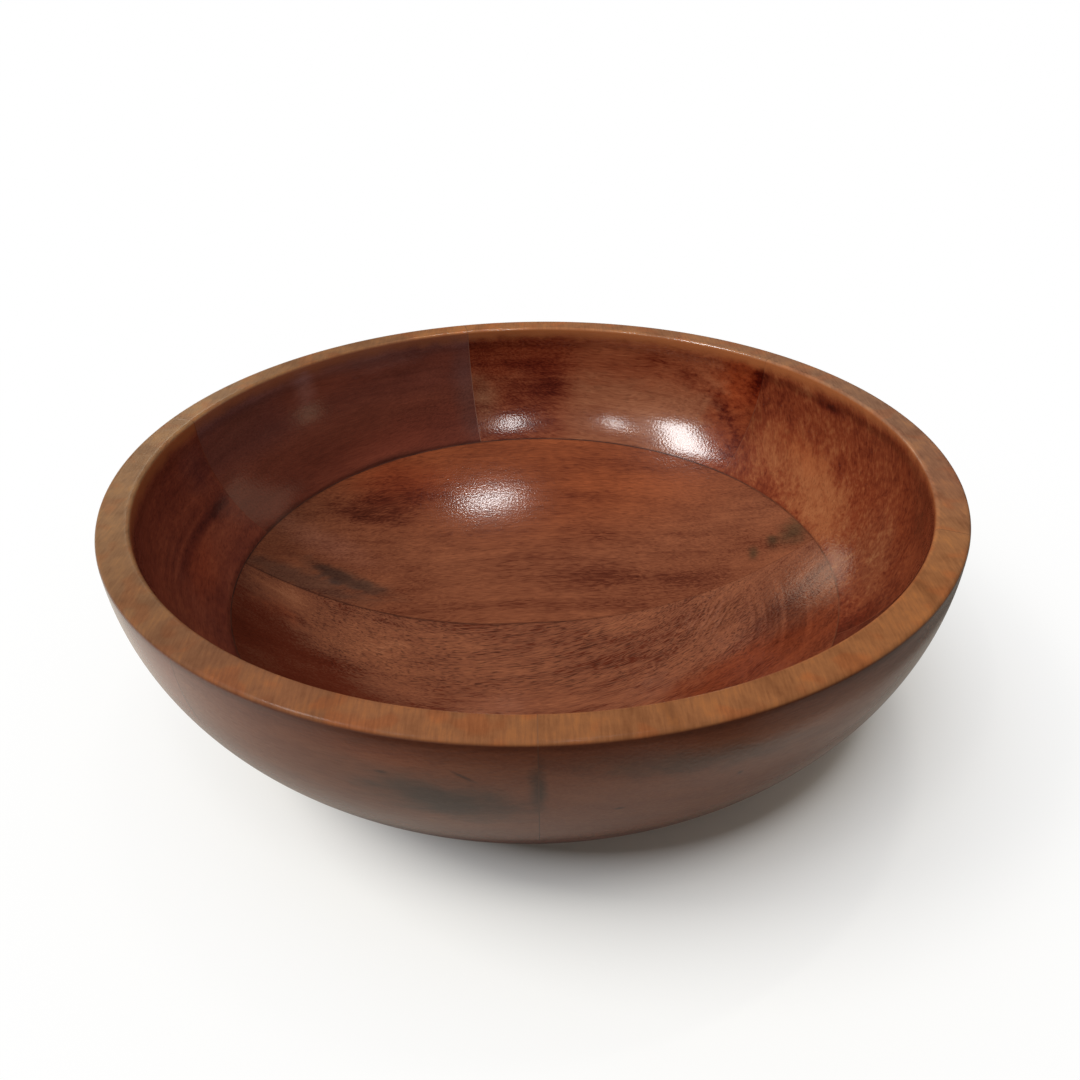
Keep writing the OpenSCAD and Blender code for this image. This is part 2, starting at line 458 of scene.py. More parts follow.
class Wood(Finish):
    """Lacquered wood with its grain turned to lie along the piece.

    The growth rings lie round the heart of the tree, at a depth and height from the bowl's middle.
    On a board, the grain lines can run at a slope and bend as they cross it.
    Marks that deepen or lighten the wood go in before the figure, stains on its colour after it.
    """

    def __init__(self, name, turn, heart, seed, on_floor=False, lean=0.0, slope=0.0, bend=0.0):
        super().__init__(name)
        self.seed = seed
        self.grain = self.put("Mapping", {"Vector": self.spot, "Rotation": (0, 0, turn)})
        if slope or bend:
            along, across, height = self.add("SeparateXYZ", {0: self.grain}).outputs
            rise = self.times(along, self.lift(along, bend, slope))
            across = self.minus(across, rise)
            self.grain = self.put("CombineXYZ", {0: along, 1: across, 2: height})
        if lean:
            self.grain = self.put("Mapping", {"Vector": self.grain, "Rotation": (0, lean, 0)})
        self.sheet = self.spot
        if not on_floor:
            arc_length = self.times(self.bearing, mm_per_degree)
            self.sheet = self.put("CombineXYZ", {0: arc_length, 1: self.z})
        self.on_floor = on_floor
        self.heart = heart
        self.ragged = self.minus(self.noise(self.grain, (11, 4.5, 4.5), 2.0, 0.5, seed + 3), 0.5)
        self.tone = 0.5

    def astray(self, value, reach):
        """A value that strays with the ragged grain."""
        return self.lift(self.ragged, reach, value)

    def bent(self, size, reach, seed):
        """Grain coordinates that wander sideways by about reach."""
        place = self.put("Mapping", {"Vector": self.grain, "Location": (seed, -seed, seed * 0.4),
                                     "Scale": [1.0 / s for s in size]})
        swirl = self.add("TexNoise", {"Vector": place, "Scale": 1.0, "Detail": 2.0}).outputs["Color"]
        level = self.put("VectorMath", {0: swirl, 1: (0.5, 0.5, 0.5)}, operation="SUBTRACT")
        away = self.put("VectorMath", {0: level, "Scale": 4.0 * reach}, operation="SCALE")
        return self.put("VectorMath", {0: self.grain, 1: away}, operation="ADD")

    def rings(self, at, width, length, seed):
        """Tones of the growth rings, by the distance from the heart of the tree."""
        along, depth, height = self.add("SeparateXYZ", {0: at}).outputs
        aside = self.minus(depth, self.heart[0])
        above = self.minus(height, self.heart[1])
        flat = self.put("CombineXYZ", {0: aside, 1: above})
        distance = self.add("VectorMath", {0: flat}, operation="LENGTH").outputs["Value"]
        ringed = self.put("CombineXYZ", {0: distance, 1: along})
        return self.noise(ringed, (width, length, 1.0), 2.0, 0.55, seed)

    def deepen(self, amount, share):
        """Shifts the wood's tone down its range of colours, or up it by a negative amount."""
        self.tone = self.lift(share, -amount, self.tone)

    def dark(self, amount, *where, **how):
        """A darker patch of wood, or a lighter one by a negative amount."""
        self.deepen(amount, self.patch(*where, **how))

    def darks(self, *rows, **how):
        for row in rows:
            self.dark(*row, **how)

    def figure(self, stops, rings=(7.0, 0.4), lines=(1.5, 0.4), fibres=(7.0, 0.5, 0.6),
               clouds=(45.0, 16.0, 0.7), mottle=(7.0, 0.3), sway=3.0,
               pore_size=(4.0, 0.6), pore_share=0.62, calm=None):
        """The grain's colour: growth rings, fine lines, fibres, clouds and mottle.

        Each is given by its sizes and its strength. Where the wood is calm, they are weaker.
        """
        ring_run, line_run, calmed = 150.0, 45.0, 0.65
        wavy = self.bent((60, 25, 25), sway, self.seed)
        ripple = self.bent((18, 7, 7), 0.8, self.seed + 2)
        self.fibre = self.noise(ripple, (fibres[0], fibres[1], fibres[1]), 1.0, 0.5, self.seed + 5)
        parts = [(self.rings(wavy, rings[0], ring_run, self.seed + 11), rings[1]),
                 (self.rings(wavy, lines[0], line_run, self.seed + 17), lines[1]),
                 (self.fibre, fibres[2]),
                 (self.noise(self.grain, (clouds[0], clouds[1], clouds[1]), 2.0, 0.55, self.seed + 7), clouds[2]),
                 (self.noise(ripple, (1.6 * mottle[0], mottle[0], mottle[0]), 2.0, 0.6, self.seed + 9), mottle[1])]
        for part, strength in parts:
            if calm is not None:
                strength = self.lift(calm, -calmed * strength, strength)
            self.tone = self.lift(self.minus(part, 0.5), strength, self.tone)
        self.colour = self.tinted(self.tone, stops)
        pores = self.noise(ripple, (pore_size[0], pore_size[1], pore_size[1]), 0.0, 0.5, self.seed + 1)
        self.pore = self.fade(pores, pore_share, pore_share + 0.1)

    def stain(self, share, colour, blend="MULTIPLY"):
        self.colour = self.mix(share, self.colour, (*colour, 1.0), blend)

    def stain_inside(self, colour, *shares):
        self.stain(self.times(self.inside, *shares), colour)

    def pores(self, share, shade=(0.4, 0.33, 0.33)):
        """Short dark pore marks, the given share of full strength."""
        self.stain(self.times(self.pore, share), shade)

    def patch(self, middle, reach, lean=0.0, side=None, ragged=0.9, core=0.0):
        """A soft-edged patch round its middle, on the floor in x and y, on a wall in bearing and height.

        It is on one side of a wall if a side is given: 1 inside, 0 outside.
        """
        across = middle[0] if self.on_floor else middle[0] * mm_per_degree
        local = self.put("Mapping", {"Vector": self.sheet, "Location": (across, middle[1], 0),
                                     "Rotation": (0, 0, math.radians(lean)),
                                     "Scale": (reach[0], reach[1], 1)}, vector_type="TEXTURE")
        flat = self.put("VectorMath", {0: local, 1: (1, 1, 0)}, operation="MULTIPLY")
        off = self.add("VectorMath", {0: flat}, operation="LENGTH").outputs["Value"]
        if ragged:
            off = self.astray(off, ragged)
        share = self.fade(off, 1.0, core)
        return share if side is None else self.times(share, self.on_side(side))

    def beyond(self, middle, angle, soft, ragged):
        """The part of the floor to the left of a slanted line, with a ragged, soft edge."""
        turn = math.radians(angle)
        across = self.times(self.minus(self.x, middle[0]), -math.sin(turn))
        past = self.lift(self.minus(self.y, middle[1]), math.cos(turn), across)
        return self.fade(self.astray(past, ragged), -soft, soft)

    def mark(self, strength, colour, *where, **how):
        """A stained patch."""
        self.stain(self.times(self.patch(*where, **how), strength), colour)

    def marks(self, strength, colour, *rows, **how):
        for row in rows:
            self.mark(strength, colour, *row, **how)

    def on_side(self, side):
        return self.inside if side else self.minus(1.0, self.inside)

    def outside(self, colour, strength=0.6):
        """An even stain on the outside of the bowl, darker just under the rim."""
        side = self.on_side(0)
        high = self.fade(self.astray(self.z, 5.0), under_rim - 9.2, under_rim - 1.7)
        close = self.fade(self.z, under_rim - 2.0, under_rim)
        self.stain(self.times(side, strength), colour, "MIX")
        self.stain(self.times(side, high, 0.6), (0.62, 0.46, 0.38))
        self.stain(self.times(side, close, 0.5), (0.45, 0.38, 0.35))

    def ring_joint(self, strength=0.45, reach=0.5):
        """Darkening where glue has soaked in along the joint between ring and base."""
        wide = self.astray(reach, 2.0 * reach)
        off = self.apart(self.z, ring_z)
        near = self.minus(1.0, self.calc("DIVIDE", off, wide))
        self.stain(self.times(self.fade(near, 0.0, 0.8), strength), (0.3, 0.26, 0.26))

    def board_joint(self, strength=0.45):
        """A thin dark edge along the joint between the boards, fainter at the right."""
        away = self.times(self.x, -math.sin(board_joint_turn))
        away = self.lift(self.y, math.cos(board_joint_turn), away)
        faint = self.fade(self.x, 90, 0)
        self.stain(self.times(self.band(away, board_joint_y, 0.2, 0.9), faint, strength), (0.35, 0.3, 0.3))

    def right_joint_streak(self):
        """A soft dark streak inside, over the joint between the back right and the right wall."""
        self.mark(0.75, (0.72, 0.62, 0.58), (49.5, 68), (9, 24), 8, side=1, ragged=0.8)

    def worn_band_and_highlight(self, band, line):
        """Inside, just under the rim, the stain has worn to a warm band with a dark line below it. The band grows
        brighter towards the rim's edge, partly from wear and partly as a painted highlight.

        The band is narrower at the right.
        """
        wander = self.astray(self.z, 4.0)
        wander = self.lift(self.fade(self.bearing, 58, 92), -2.5, wander)
        self.stain_inside((0.4, 0.3, 0.28), self.band(wander, under_rim - 6.2, 0.5, 1.9), line)
        # The warm band, brighter towards the rim's edge: wear with a painted highlight.
        worn = self.times(self.inside, self.fade(wander, under_rim - 5.0, under_rim), band)
        self.stain(worn, (0.4, 0.135, 0.045), "MIX")

    def rim(self):
        """The sanded rim: paler wood, olive at the left and orange at the front.

        It is smudged, with fine strokes from front to back. Its paler tones at the back and sides are partly
        painted sheen, and a painted highlight runs along its inner edge.
        """
        round_rim = self.lift(self.bearing, 1 / 360, 0.5)
        # The rim's tone round the bowl, paler at the back and sides partly as painted sheen.
        base = self.tinted(round_rim, rim_colours_and_sheen)
        strokes = self.noise(self.spot, (0.8, 7, 7), 3.0, 0.6, self.seed)
        smudge = self.noise(self.spot, (11, 12, 12), 4.0, 0.6, self.seed + 4)
        shade = self.lift(self.minus(strokes, 0.5), 0.7, 0.5)
        shade = self.lift(self.minus(smudge, 0.5), 1.1, shade)
        worn = self.tinted(shade, [(0.2, (0.7, 0.66, 0.66)), (0.5, (0.97, 0.97, 0.97)), (0.8, (1.3, 1.24, 1.05))])
        top = self.mix(1.0, base, worn, "MULTIPLY")
        reddish = self.fade(self.noise(self.spot, (9, 9, 9), 1.0, 0.5, self.seed + 6), 0.5, 0.65)
        top = self.mix(reddish, top, (1.07, 0.93, 0.86, 1), "MULTIPLY")
        # Painted highlight: a thin paler line along the rim's inner rounded edge.
        lip = self.fade(self.radius, mouth_r + 1.6, mouth_r + 0.5)
        top = self.mix(self.times(lip, 0.7), top, (1.4, 1.3, 1.2, 1), "MULTIPLY")
        self.on_rim = self.fade(self.z, rim_start, rim_full)
        self.colour = self.mix(self.on_rim, self.colour, top)

    def wall_ends(self, joint=0.45, reach=0.5, band=0.9, line=0.5):
        """What all walls have at their foot and at their top."""
        self.ring_joint(joint, reach)
        self.worn_band_and_highlight(band, line)
        self.rim()

    def rim_mark(self, strength, shade, bearing, width, lean=0.0):
        """A dark mark across the rim, leaning by so many degrees of bearing per millimetre of radius."""
        at = self.lift(self.minus(self.radius, rim_middle_r), lean, bearing)
        off = self.apart(self.bearing, at)
        self.stain(self.times(self.fade(off, width, 0.0), self.on_rim, strength), shade)

    def lacquered(self, dull=None):
        """Ends the material: lacquer over the colour, uneven over pores and fibres.

        It is thin where dull, and worn off the rim's flat.
        """
        peel = self.noise(self.spot, (0.9, 0.9, 0.9), 0.0, 0.5, self.seed)
        height = self.lift(self.pore, -0.1, self.lift(self.fibre, 0.1, peel))
        bump = self.put("Bump", {"Strength": 1.0, "Distance": lacquer_relief * MM, "Height": height})
        rough = self.lift(self.fibre, -0.15, 0.5)
        coat = lacquer_gloss
        if dull is not None:
            coat = self.lift(dull, -0.9 * lacquer_gloss, lacquer_gloss)
        if not self.on_floor:
            worn = self.times(self.on_rim, self.fade(self.radius, mouth_r + 0.8, mouth_r + 2.5), 0.9)
            coat = self.times(self.minus(1.0, worn), coat)
        shader = self.add("BsdfPrincipled", {"Base Color": self.colour, "Roughness": rough, "Normal": bump,
                                             "Specular IOR Level": bare_shine, "Coat Weight": coat,
                                             "Coat Roughness": lacquer_rough, "Coat Normal": bump})
        self.add("OutputMaterial", {"Surface": shader.outputs[0]})
        return self.material


def back_right_wood():
    wood = Wood("wood_of_back_right_wall", math.radians(18.4), (110, -400), 2.0)
    upper = wood.fade(wood.astray(wood.z, 10.0), 66, 78)
    wood.deepen(0.04, upper)
    wood.deepen(0.18, wood.fade(wood.bearing, 12, 0))
    curly = wood.minus(wood.noise(wood.spot, (3.0, 3.0, 1.8), 3.0, 0.6, 6.0), 0.5)
    wood.deepen(1.0, wood.times(curly, wood.inside, wood.fade(wood.bearing, 26, 42)))
    wood.darks((0.26, (4, 68), (19, 17)), (0.24, (49, 54), (13, 13)), side=1, ragged=0.5)
    wood.darks((-0.16, (16, 85), (16, 6)), (0.14, (48, 80), (8, 10)), side=1)
    wood.darks((0.16, (26, 84), (18, 4), -8), (0.2, (33, 78), (18, 7), -20), (0.4, (49, 86.5), (8, 9)))
    wood.dark(-0.22, (25, 60), (42, 9), side=1, ragged=0.6)
    wood.dark(-0.22, (42, 77.5), (26, 4.2), -17, ragged=1.2)
    wood.dark(0.26, (43, 67), (17, 5.5), -36, ragged=0.8)
    wood.figure([(0.0, (0.05, 0.006, 0.0025)), (0.15, (0.1, 0.0165, 0.007)), (0.28, (0.152, 0.036, 0.015)),
                 (0.4, (0.205, 0.06, 0.0265)), (0.66, (0.285, 0.1, 0.046)), (0.95, (0.36, 0.14, 0.068))],
                rings=(5.0, 0.3), lines=(1.3, 0.35), fibres=(8.0, 0.5, 0.5), clouds=(60.0, 8.0, 0.4),
                sway=2.5, calm=wood.fade(wood.bearing, 28, 42))
    wood.stain_inside((1.04, 0.84, 0.74), upper)
    wood.stain_inside((1.0, 0.84, 0.78), wood.fade(wood.bearing, 12, 4))
    # Painted shade: inside towards the right joint, the wood is darker and redder to offset the left lamp's sheen
    # there.
    wood.stain_inside((0.92, 0.58, 0.4), wood.fade(wood.astray(wood.bearing, 8.0), 37, 44))
    wood.mark(0.6, (0.85, 0.95, 1.15), (43, 66), (17, 6), -36, side=1)
    wood.mark(0.9, (1.0, 1.5, 1.8), (-11, 62), (13, 20), side=1, ragged=0.4)
    wood.right_joint_streak()
    wood.pores(0.3)
    wood.outside((0.13, 0.036, 0.016))
    wood.wall_ends(0.35, line=0.3)
    return wood.lacquered()


def back_left_wood():
    wood = Wood("wood_of_back_left_wall", math.radians(-44), (110, -400), 5.0)
    wood.deepen(0.3, wood.fade(wood.bearing, -42, -16))
    wood.figure([(0.0, (0.112, 0.026, 0.0146)), (0.5, (0.198, 0.05, 0.027)), (1.0, (0.285, 0.078, 0.041))],
                clouds=(48.0, 18.0, 0.5), mottle=(9.0, 0.4))
    wood.pores(0.2)
    wood.mark(0.8, (0.8, 1.2, 1.6), (-14, 68), (11, 36), ragged=0.4)
    wood.stain_inside((0.8, 0.7, 0.68), wood.fade(wood.z, 68, 52))
    wood.stain_inside((1.15, 1.22, 1.36), wood.fade(wood.z, 64, 76), wood.fade(wood.bearing, -54, -40))
    wood.stain_inside((0.84, 1.03, 1.4), wood.fade(wood.z, 62, 76), wood.fade(wood.bearing, -44, -60))
    wood.stain_inside((1.1, 1.45, 1.8), wood.fade(wood.z, 84, 90))
    # Painted reflection: a pale soft streak high up on the inside wall.
    wood.mark(0.9, (1.45, 2.15, 2.7), (-48.5, 84.5), (9, 13), side=1, ragged=0.5)
    wood.outside((0.15, 0.042, 0.02))
    wood.mark(0.6, (0.25, 0.3, 0.35), (-36, 46.5), (40, 2.2))
    wood.wall_ends(0.65, 1.2, 0.55, 0.3)
    return wood.lacquered()


def left_wood():
    wood = Wood("wood_of_left_wall", math.radians(-108), (110, -400), 9.0)
    wood.darks((0.4, (-82, 62.2), (28, 3.2), -1), (0.34, (-96, 62.2), (34, 2.6), 2),
               (0.24, (-96, 66.2), (38, 1.7), 2), (0.2, (-101, 69.0), (34, 1.4), 3), ragged=0.35)
    wood.darks((-0.16, (-93, 64.3), (40, 1.2), 1), (-0.12, (-88, 59.2), (34, 1.3), 1), ragged=0.3)
    wood.darks((-0.22, (-92, 54), (36, 6), 2), (0.26, (-79, 61.5), (11, 5)))
    wood.dark(0.2, (-79, 78), (14, 14), ragged=0.6)
    wood.dark(-0.07, (-97, 66), (44, 16), ragged=0.4)
    wood.deepen(0.1, wood.fade(wood.bearing, -104, -128))
    wood.deepen(0.06, wood.times(wood.inside, wood.fade(wood.z, 70, 84)))
    wood.figure([(0.0, (0.075, 0.014, 0.009)), (0.25, (0.135, 0.026, 0.014)), (0.5, (0.195, 0.041, 0.019)),
                 (0.75, (0.26, 0.06, 0.026)), (1.0, (0.32, 0.085, 0.034))],
                rings=(8.0, 0.35), fibres=(5.0, 0.6, 0.4), mottle=(3.0, 0.5))
    wood.pores(0.3)
    wood.stain_inside((1.02, 1.09, 1.25))
    wood.mark(0.8, (0.85, 1.05, 1.4), (-79, 80), (18, 18), ragged=0.6)
    wood.mark(0.8, (1.12, 0.92, 0.78), (-96, 56), (40, 9), side=1, ragged=0.5)
    wood.outside((0.19, 0.056, 0.026))
    wood.wall_ends(0.5, 1.4, 0.75, 0.3)
    return wood.lacquered(dull=wood.times(wood.patch((-77, 58), (24, 16), ragged=0.3, core=0.4), 0.6))


# What the two front walls share
front_tones = [(0.0, (0.06, 0.009, 0.004)), (0.25, (0.105, 0.02, 0.009)), (0.5, (0.16, 0.042, 0.018)),
               (1.0, (0.27, 0.085, 0.036))]
front_outside = (0.109, 0.035, 0.0145)
front_joint_blot = (0.3, 0.42, 0.52)
dark_fleck = (0.3, 0.32, 0.35)


def front_left_wood():
    wood = Wood("wood_of_front_left_wall", math.radians(-160), (110, 30), 13.0)
    wood.figure(front_tones)
    wood.pores(0.3)
    wood.outside(front_outside)
    # Painted reflection of the white floor: the outside grows paler and greyer towards the left.
    wood.stain(wood.times(wood.on_side(0), wood.fade(wood.bearing, -162, -140), 0.7), (1.4, 1.5, 1.8))
    wood.mark(0.6, (1.35, 1.15, 0.85), (-165, 87), (26, 5), 4, side=0)
    wood.mark(0.85, (0.25, 0.5, 0.85), (-170.5, 72), (29, 13), 8, side=0, ragged=0.7, core=0.15)
    wood.mark(0.9, front_joint_blot, (-180, 78), (3.4, 15), side=0, ragged=0.6)
    wood.marks(0.8, dark_fleck, ((-173, 83), (5.5, 0.9), 35), ((-165, 81), (2.4, 1.0)), side=0, ragged=0.4)
    wood.wall_ends()
    wood.rim_mark(0.5, (0.6, 0.62, 0.65), -159, 4.0)
    return wood.lacquered()


def front_right_wood():
    wood = Wood("wood_of_front_right_wall", math.radians(147), (110, 40), 17.0)
    # Painted shade: the inside is darker towards the right end, by the front of the bowl.
    wood.deepen(0.42, wood.times(wood.inside, wood.fade(wood.bearing, 165, 128)))
    wood.figure(front_tones)
    wood.pores(0.3)
    wood.outside(front_outside)
    wood.mark(0.75, (0.38, 0.55, 0.75), (164, 82), (48, 7), 9, side=0)
    wood.mark(0.9, front_joint_blot, (180, 78), (2.8, 15), side=0, ragged=0.6)
    wood.marks(0.8, dark_fleck, ((172, 67), (2.2, 0.9)), ((159.6, 72.2), (1.4, 1.2)), side=0, ragged=0.4)
    wood.wall_ends()
    wood.rim_mark(0.4, (0.6, 0.56, 0.56), 129.6, 2.0, 0.4)
    wood.rim_mark(0.4, (0.65, 0.6, 0.6), 146.2, 1.4)
    wood.rim_mark(0.4, (0.65, 0.6, 0.6), 156.0, 0.9)
    wood.rim_mark(0.5, (0.55, 0.5, 0.5), 167.2, 1.2)
    return wood.lacquered()


def right_wood():
    wood = Wood("wood_of_right_wall", math.radians(82), (215, 45), 21.0, lean=math.radians(-50))
    upper = wood.fade(wood.astray(wood.z, 14.0), 58, 78)
    wood.deepen(0.03, wood.times(upper, wood.fade(wood.bearing, 51, 66)))
    wood.deepen(0.14, wood.fade(wood.astray(wood.bearing, 14.0), 92, 114))
    orange = wood.patch((71, 57), (68, 15), -11)
    wood.deepen(-0.34, orange)
    # The first patch, darker low down at the wall's front end, is painted shade.
    wood.darks((0.3, (117, 50), (30, 16), 20), (-0.16, (56, 53), (12, 8)), (0.18, (73.5, 68), (7, 6)),
               (0.4, (49, 86.5), (8, 9)), (-0.3, (60, 88.5), (9, 3.4)), (0.25, (66, 86), (13, 2.6)),
               (0.2, (95, 87), (32, 2.4)))
    wood.darks((0.13, (102, 80), (44, 12)), (0.1, (88, 83), (14, 6)), (0.12, (51, 80), (8, 10)), side=1)
    wood.figure([(0.0, (0.05, 0.006, 0.0025)), (0.25, (0.115, 0.017, 0.0065)), (0.5, (0.2, 0.0405, 0.0142)),
                 (0.75, (0.29, 0.088, 0.032)), (1.0, (0.37, 0.13, 0.05))],
                rings=(9.0, 0.15), lines=(2.0, 0.15), fibres=(4.0, 0.8, 0.35), clouds=(16.0, 12.0, 0.5),
                mottle=(2.0, 0.7), sway=1.5, calm=wood.times(orange, 0.6))
    wood.mark(0.85, (1.0, 1.38, 1.6), (100, 58), (50, 17), side=1)
    wood.mark(0.8, (1.0, 0.84, 0.75), (64, 65), (30, 9), -6, side=1)
    wood.right_joint_streak()
    wood.pores(0.3)
    wood.outside((0.26, 0.075, 0.033))
    wood.wall_ends(0.25)
    return wood.lacquered()


def rear_board_wood():
    wood = Wood("wood_of_rear_board", -board_joint_turn, (420, -60), 27.0, on_floor=True, bend=-0.0036)
    wood.deepen(-0.08, wood.fade(wood.y, 58, 85))
    wood.dark(0.27, (-67, 71), (34, 15), 38, ragged=0.7)
    wood.dark(0.15, (24, 86), (28, 5), -14, ragged=1.2)
    wood.dark(0.2, (24, 39), (40, 14), -10, ragged=0.5)
    wood.dark(0.14, (62, 27), (38, 10), -14, ragged=0.6)
    wood.darks((0.2, (-80, 61), (20, 6), 10), (-0.1, (62, 80), (44, 10), -24), (0.12, (32, 19), (40, 8), -6),
               (-0.2, (-37, 51), (36, 16), 15), (-0.12, (88, 52), (20, 14), -30), (-0.14, (102, 39), (14, 10)))
    wood.figure([(0.0, (0.05, 0.009, 0.004)), (0.25, (0.112, 0.027, 0.0125)), (0.5, (0.197, 0.06, 0.027)),
                 (0.75, (0.262, 0.084, 0.037)), (1.0, (0.33, 0.11, 0.048))],
                rings=(6.0, 0.25), lines=(1.3, 0.35), fibres=(6.0, 0.45, 0.75), clouds=(45.0, 16.0, 0.5), sway=2.0)
    wood.pores(0.3)
    wood.stain(wood.fade(wood.y, 45, 95), (1.0, 0.76, 0.56))
    wood.mark(0.8, (0.97, 0.72, 0.66), (-62, 84), (38, 18), 20)
    wood.mark(1.0, (1.16, 1.3, 1.55), (-92, 38), (32, 12), ragged=0.5)
    wood.mark(0.8, (0.54, 0.74, 1.0), (-96, 12), (36, 9), 6, ragged=0.8, core=0.3)
    wood.mark(0.95, (0.44, 0.62, 0.84), (-79, 22), (25, 8), -3, core=0.3)
    wood.mark(0.7, (0.55, 0.58, 0.64), (-84, 23), (17, 4.5), -6, ragged=1.1, core=0.2)
    for strength, *where in [(0.95, (109, 26), (11, 11)), (0.85, (101, 27), (3.5, 7)), (0.9, (93.3, 26), (3, 6))]:
        wood.mark(strength, (0.42, 0.66, 0.7), *where)
    wood.board_joint()
    wood.ring_joint(0.5, 0.7)
    return wood.lacquered()


def front_board_wood():
    wood = Wood("wood_of_front_board", -board_joint_turn, (-420, -60), 33.0, on_floor=True, slope=0.2, bend=0.0022)
    corner = wood.beyond((-71, -34), 141, 12, 9)
    wood.deepen(0.29, corner)
    wood.darks((-0.3, (-70, -16), (32, 16)), (-0.28, (-101, -3), (18, 15)), (0.12, (-40, -54), (24, 12)),
               (-0.26, (-38, -3), (34, 14)), (-0.14, (25, -46), (24, 10)), (0.1, (24, 1), (34, 8)),
               (0.14, (62, -48), (34, 10), 20))
    wood.darks((0.13, (34, -13), (52, 26), 12), (0.08, (85, -30), (42, 15)), ragged=0.5)
    wood.figure([(0.0, (0.06, 0.008, 0.003)), (0.22, (0.112, 0.02, 0.008)), (0.36, (0.15, 0.048, 0.0245)),
                 (0.5, (0.212, 0.068, 0.033)), (0.75, (0.272, 0.092, 0.042)), (1.0, (0.35, 0.13, 0.062))],
                rings=(5.0, 0.3), lines=(1.3, 0.45), fibres=(5.0, 0.45, 1.0), sway=2.5,
                pore_size=(5.0, 0.5), pore_share=0.57, calm=corner)
    plain = wood.times(wood.fade(wood.radius, 98, 84), wood.fade(wood.y, -46, -30))
    wood.pores(wood.lift(plain, 0.8, 0.1), (0.5, 0.5, 0.54))
    slanted = wood.put("Mapping", {"Vector": wood.spot, "Rotation": (0, 0, math.radians(-58))})
    stroke = wood.noise(slanted, (13, 1.1, 13), 1.0, 0.5, 41.0)
    curl = wood.patch((70, -3), (25, 19), 30)
    wood.stain(wood.times(wood.fade(stroke, 0.52, 0.62), curl, 0.8), (1.2, 1.35, 1.5))
    wood.stain(wood.times(wood.fade(stroke, 0.48, 0.38), curl, 0.8), (0.7, 0.66, 0.64))
    wood.mark(1.0, (0.76, 0.48, 0.36), (84, -46), (58, 25), 16, ragged=0.5, core=0.4)
    wood.mark(0.7, (0.82, 0.78, 0.78), (92, -12), (34, 26), ragged=0.4)
    wood.mark(0.9, (1.0, 0.74, 0.64), (-103, -14), (16, 11))
    outwards = wood.put("CombineXYZ", {0: wood.radius})
    turned_line = wood.band(wood.noise(outwards, (4, 1, 1), 0.0), 0.5, 0.03, 0.1)
    wood.stain(wood.times(turned_line, wood.patch((96, -20), (22, 40), ragged=0.0), 0.9), (0.6, 0.5, 0.48))
    wood.board_joint()
    wood.ring_joint(0.3)
    return wood.lacquered(dull=wood.patch((74, -42), (46, 26), 20, ragged=0.3, core=0.3))


def cured_glue():
    """Glue under the lacquer: dark round the floor and between the boards, near the wood's colour in the wall."""
    glue = Finish("cured_glue")
    blotch = glue.noise(glue.spot, (6, 6, 6), 2.0)

    def blotched(dark, pale):
        return glue.tinted(blotch, [(0.3, dark), (0.7, pale)])

    in_wall = glue.fade(glue.z, ring_z + 0.1, ring_z + 0.4)
    at_blot = glue.times(glue.band(glue.bearing, 90 - joint_right_back, 1, 1), glue.band(glue.z, 84.5, 3.5, 3))
    # Under the rim the glue takes the warm band's colour, which is wear with a painted highlight.
    at_band = glue.times(glue.fade(glue.bearing, 35, 45), glue.fade(glue.z, 88.5, 91.5))
    at_back = glue.times(glue.band(glue.bearing, 90 - joint_back, 0.5, 0.5), in_wall)
    at_front = glue.times(glue.fade(glue.y, -60, -90), glue.fade(glue.z, rim_full, rim_start))
    tones = [
        (glue.fade(glue.bearing, 35, 75), blotched((0.09, 0.026, 0.012), (0.16, 0.045, 0.02))),
        (in_wall, blotched((0.12, 0.034, 0.017), (0.2, 0.056, 0.026))),
        (at_blot, (0.065, 0.012, 0.006, 1)),
        (at_band, (0.3, 0.1, 0.038, 1)),
        (at_back, (0.2, 0.09, 0.06, 1)),
        (at_front, (0.07, 0.024, 0.012, 1)),
        (glue.fade(glue.z, rim_start, rim_full), (0.2, 0.085, 0.04, 1)),
    ]
    colour = blotched((0.035, 0.013, 0.009), (0.09, 0.03, 0.018))
    for share, tone in tones:
        colour = glue.mix(share, colour, tone)
    shader = glue.add("BsdfPrincipled", {"Base Color": colour, "Roughness": 0.45, "Specular IOR Level": bare_shine,
                                         "Coat Weight": lacquer_gloss, "Coat Roughness": 0.16})
    glue.add("OutputMaterial", {"Surface": shader.outputs[0]})
    return glue.material


joint_half = math.degrees(glue_t / rim_middle_r) / 2
glue = cured_glue()

segments = [
    ("back_right", joint_right_back, joint_back, back_right_wood),
    ("back_left", joint_back, joint_left, back_left_wood),
    ("left", joint_left, joint_left_front, left_wood),
    ("front_left", joint_left_front, joint_front, front_left_wood),
    ("front_right", joint_front, joint_right_front, front_right_wood),
    ("right", joint_right_front, joint_right_back + 360.0, right_wood),
]
for where, start, end, wood in segments:
    mesh = turned_mesh("wall_" + where, ring_profile(), math.radians(start + joint_half),
                       math.radians(end - joint_half), round(end - start), wood())
    place("wall_" + where, mesh, "wall_segment_" + where, where + "_wood")

joint_meshes = [turned_mesh("joint_glue", ring_profile(), math.radians(start - joint_half),
                            math.radians(start + joint_half), 1, glue) for where, start, end, wood in segments]
place("wall_joint_glue", joined("wall_joint_glue", joint_meshes), "segment_glue_lines", "glue")
place("ring_glue", turned_mesh("ring_glue", ring_glue_profile(), 0.0, 2 * math.pi, 360, glue, closed=True),
      "ring_glue_line", "glue")

